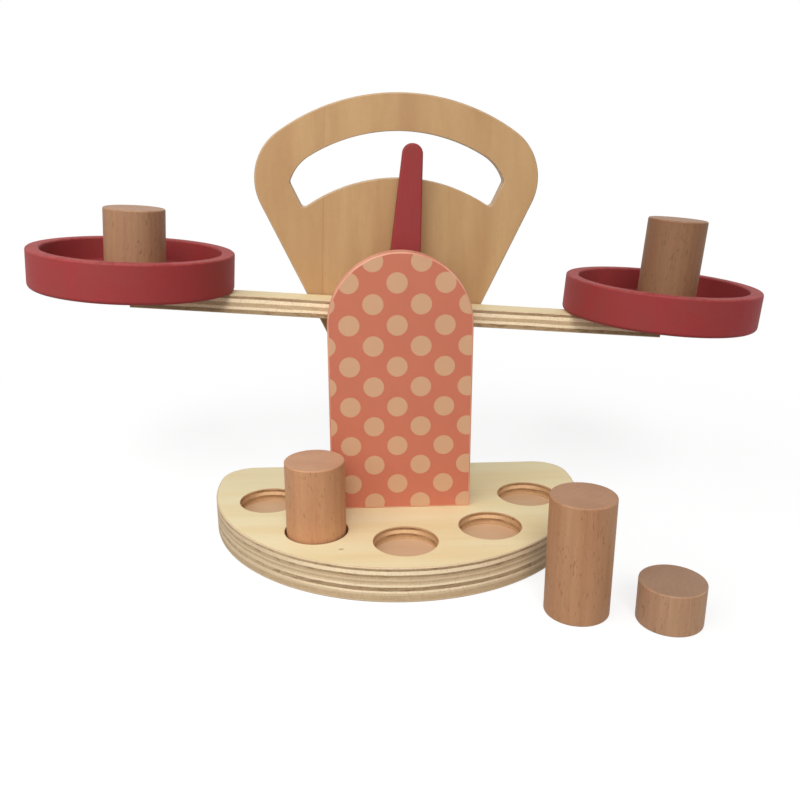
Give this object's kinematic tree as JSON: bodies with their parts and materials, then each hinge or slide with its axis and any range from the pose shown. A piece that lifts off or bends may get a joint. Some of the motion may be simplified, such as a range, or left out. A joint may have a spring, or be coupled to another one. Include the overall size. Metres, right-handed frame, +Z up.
{
  "type": "wooden balance scale toy",
  "caption": "Toy beam balance of plywood: half-round base with weight recesses, arched front panel, fan-shaped dial board with a window, needle, two round pans and dowel weights.",
  "frame": {"origin": "on the table, on the base's underside, below the middle of the axle", "axes": "+X along the length of the toy towards the right pan, +Y to the back, +Z up"},
  "size_m": [0.3728, 0.1715, 0.2292],
  "materials": {
    "plywood": "clear matt lacquer, plies showing on the edges",
    "veneer": "clear matt lacquer",
    "coral_paint": "satin paint with a pale dot print",
    "red_paint": "matt paint",
    "beech": "sanded, oiled",
    "plain_wood": "sanded",
    "steel": "zinc plated",
    "brass": "turned"
  },
  "bodies": {
    "stand": {"base_board": "plywood", "front_panel": "coral_paint", "dial_board": "veneer", "spacer_block": "plain_wood", "left_stop_dowel": "plain_wood", "right_stop_dowel": "plain_wood", "axle": "steel", "front_washer": "steel", "rear_washer": "steel", "base_screws": "steel"},
    "balance": {"beam": "plywood", "hub_block": "plain_wood", "hub_bush": "brass", "hub_screws": "steel", "needle": "red_paint", "left_pan": "red_paint", "right_pan": "red_paint", "pan_screws": "steel"},
    "weight_1": {"weight_1": "beech"},
    "weight_2": {"weight_2": "beech"},
    "weight_3": {"weight_3": "beech"},
    "weight_4": {"weight_4": "beech"},
    "weight_5": {"weight_5": "beech"}
  },
  "joints": [
    {"name": "beam_tilt", "type": "hinge", "parent": "stand", "child": "balance", "pos_m": [0, 0, 0.104], "axis": [0, -1, 0], "range_deg": [0, 8.2]},
    {"name": "weight_1_lift", "type": "slide", "parent": "stand", "child": "weight_1", "axis": [0, 0, 1], "range_m": [0, 0.06]},
    {"name": "weight_2_lift", "type": "slide", "parent": "balance", "child": "weight_2", "axis": [0.0715, 0, 0.9974], "range_m": [0, 0.06]},
    {"name": "weight_3_lift", "type": "slide", "parent": "balance", "child": "weight_3", "axis": [0.0715, 0, 0.9974], "range_m": [0, 0.06]},
    {"name": "weight_4_lift", "type": "slide", "parent": "stand", "child": "weight_4", "axis": [0, 0, 1], "range_m": [0, 0.06]},
    {"name": "weight_5_lift", "type": "slide", "parent": "stand", "child": "weight_5", "axis": [0, 0, 1], "range_m": [0, 0.06]}
  ]
}
